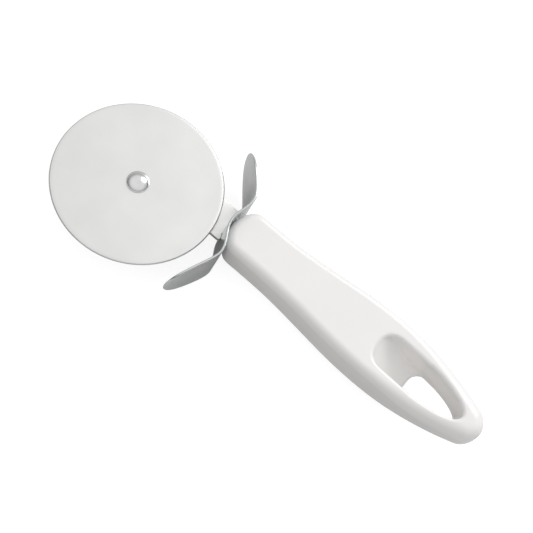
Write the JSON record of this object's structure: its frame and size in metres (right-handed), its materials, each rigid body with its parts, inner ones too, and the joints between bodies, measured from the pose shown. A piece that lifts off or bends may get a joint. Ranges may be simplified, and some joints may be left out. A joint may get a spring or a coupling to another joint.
{
  "type": "pizza cutter",
  "caption": "Hand-held cutter: a free-spinning steel wheel riveted to an offset arm, a bent finger guard, and a moulded handle with a scooped hanging hole.",
  "frame": {"origin": "middle of the tool's underside as it lies flat, on the plane of the guard's lower edge", "axes": "+X along the length from the wheel to the hanging hole, +Y across, +Z along the wheel's axis, from the handle's flat back to its scooped front"},
  "size_m": [0.1959, 0.0747, 0.0241],
  "materials": {
    "wheel_steel": "satin ground sheet steel",
    "rivet_steel": "polished steel",
    "arm_steel": "satin sheet steel",
    "guard_steel": "polished sheet steel",
    "handle_plastic": "glossy warm white moulding"
  },
  "bodies": {
    "grip": {"handle": "handle_plastic", "finger_guard": "guard_steel", "arm": "arm_steel", "spacer_washer": "rivet_steel", "axle_rivet": "rivet_steel"},
    "wheel": {"cutting_wheel": "wheel_steel"}
  },
  "joints": [
    {"name": "wheel_spin", "type": "hinge", "parent": "grip", "child": "wheel", "pos_m": [-0.064, -0.00327, 0.01418], "axis": [0, 0, 1], "continuous": true}
  ]
}
